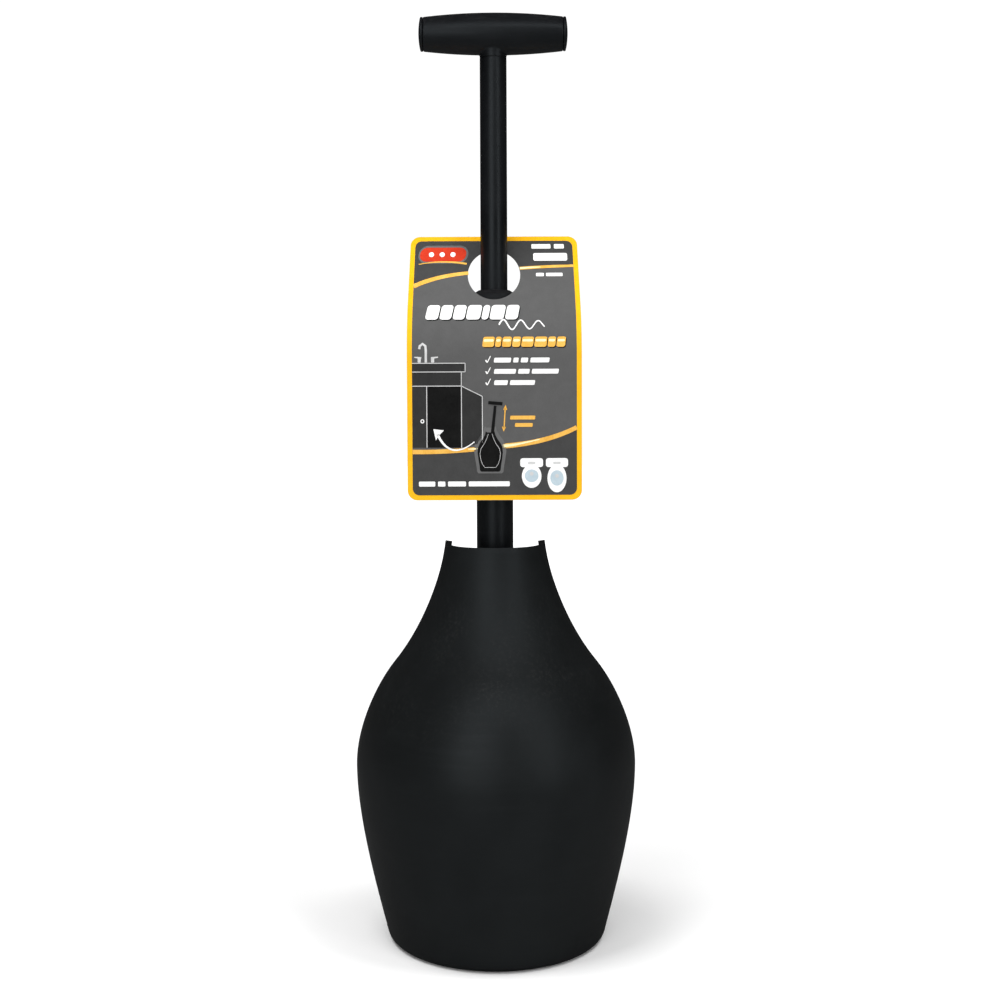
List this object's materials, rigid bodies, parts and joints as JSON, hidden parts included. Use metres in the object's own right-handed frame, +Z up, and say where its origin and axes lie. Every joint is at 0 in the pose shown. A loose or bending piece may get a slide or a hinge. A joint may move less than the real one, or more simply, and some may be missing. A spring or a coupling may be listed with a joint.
{
  "type": "toilet plunger",
  "caption": "Toilet plunger with a ringed rubber cup, a telescopic handle with a twist lock and a T grip, in an open-backed jar-shaped holder, with a cardboard hang card.",
  "frame": {"origin": "centre of the holder's flat base, on the surface it stands on", "axes": "+Z up along the handle, the holder's closed front faces -Y and its open back +Y, +X to the right seen from the front"},
  "size_m": [0.1786, 0.1618, 0.5914],
  "materials": {
    "holder_plastic": "satin black moulded plastic",
    "cup_rubber": "matte black moulded rubber",
    "handle_coating": "satin black coating",
    "grip_plastic": "satin black moulded plastic",
    "collar_plastic": "fine-textured black moulded plastic",
    "bush_plastic": "natural grey bearing plastic",
    "seal_rubber": "matte",
    "fixing_steel": "zinc plated",
    "card_board": "coated and printed"
  },
  "bodies": {
    "holder": {"holder_shell": "holder_plastic"},
    "cup": {"rubber_cup": "cup_rubber"},
    "lower_handle": {"outer_tube": "handle_coating", "cup_plug": "bush_plastic", "plug_washer": "fixing_steel", "plug_screw": "fixing_steel", "tube_ferrule": "collar_plastic", "guide_bush": "bush_plastic"},
    "clamp": {"collet": "bush_plastic"},
    "lock": {"lock_collar": "collar_plastic", "wiper_seal": "seal_rubber"},
    "upper_handle": {"inner_tube": "handle_coating", "guide_piston": "bush_plastic", "piston_pin": "fixing_steel", "t_grip": "grip_plastic", "grip_pin": "fixing_steel", "grip_end_cap_left": "grip_plastic", "grip_end_cap_right": "grip_plastic"},
    "card": {"hang_card": "card_board"}
  },
  "joints": [
    {"name": "pull_out", "type": "slide", "parent": "holder", "child": "cup", "axis": [0, 1, 0], "range_m": [0, 0.16]},
    {"name": "cup_squeeze", "type": "slide", "parent": "cup", "child": "lower_handle", "axis": [0, 0, 1], "range_m": [-0.022, 0], "stiffness_N_per_m": 2800, "springref_m": 0.0025, "deforming": ["rubber_cup"]},
    {"name": "clamp_release", "type": "slide", "parent": "lower_handle", "child": "clamp", "axis": [0, 0, 1], "range_m": [0, 0.0015]},
    {"name": "lock_turn", "type": "hinge", "parent": "clamp", "child": "lock", "pos_m": [0, 0, 0.39], "axis": [0, 0, 1], "range_deg": [0, 90]},
    {"name": "telescope", "type": "slide", "parent": "lower_handle", "child": "upper_handle", "axis": [0, 0, 1], "range_m": [-0.11, 0]},
    {"name": "card_spin", "type": "hinge", "parent": "lower_handle", "child": "card", "pos_m": [0, 0, 0.4], "axis": [0, 0, 1], "continuous": true}
  ],
  "couplings": [
    {"joint": "lock_turn", "follows": "clamp_release", "rad_per_m": 1047.2}
  ]
}
